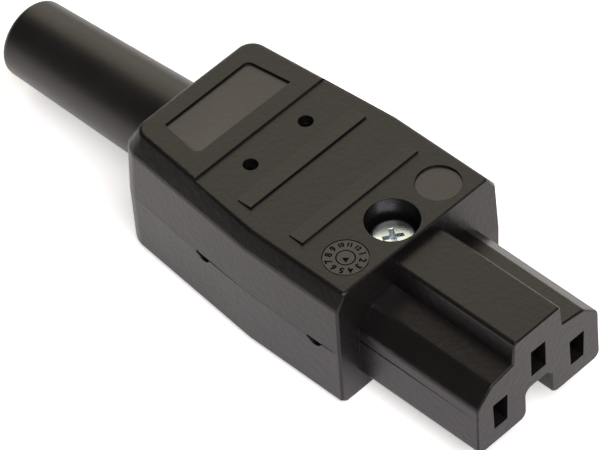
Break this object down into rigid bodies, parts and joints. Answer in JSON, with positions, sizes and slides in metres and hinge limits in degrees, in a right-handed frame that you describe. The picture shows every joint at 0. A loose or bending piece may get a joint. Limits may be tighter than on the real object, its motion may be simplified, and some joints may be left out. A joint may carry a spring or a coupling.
{
  "type": "rewireable appliance connector",
  "caption": "Black rewireable appliance coupler with a keyed slotted nose, a screw-held cover over brass terminals, an inner cord clamp and a tapered rubber bend-protection sleeve.",
  "frame": {"origin": "middle of the overall box, on the underside", "axes": "+X from the sleeve to the nose, +Z from the base up to the cover"},
  "size_m": [0.091, 0.0296, 0.02],
  "materials": {
    "housing": "fine moulded texture, dark grey",
    "clamp_plastic": "plain moulded, dark grey",
    "sleeve_rubber": "matt black",
    "zinc_steel": "bright zinc plated",
    "spring_steel": "plain rolled strip",
    "brass": "plain brass"
  },
  "bodies": {
    "base": {"base_shell": "housing", "threaded_insert": "brass", "live_contact": "brass", "neutral_contact": "brass", "earth_contact": "brass", "live_spring": "spring_steel", "neutral_spring": "spring_steel", "earth_spring": "spring_steel", "live_terminal": "brass", "neutral_terminal": "brass", "earth_terminal": "brass", "terminal_screws": "zinc_steel", "bend_sleeve": "sleeve_rubber"},
    "cover": {"cover_shell": "housing"},
    "cover_screw": {"cover_screw": "zinc_steel"},
    "cord_clamp": {"cord_clamp": "clamp_plastic", "cord_clamp_screws": "zinc_steel"}
  },
  "joints": [
    {"name": "cover_lift", "type": "slide", "parent": "base", "child": "cover", "axis": [0, 0, 1], "range_m": [0, 0.03]},
    {"name": "cover_screw_turn", "type": "hinge", "parent": "cover", "child": "cover_screw", "pos_m": [0.021, 0, 0.015], "axis": [0, 0, 1], "continuous": true},
    {"name": "cord_clamp_close", "type": "slide", "parent": "cover", "child": "cord_clamp", "axis": [0, 0, 1], "range_m": [0, 0.002]}
  ]
}
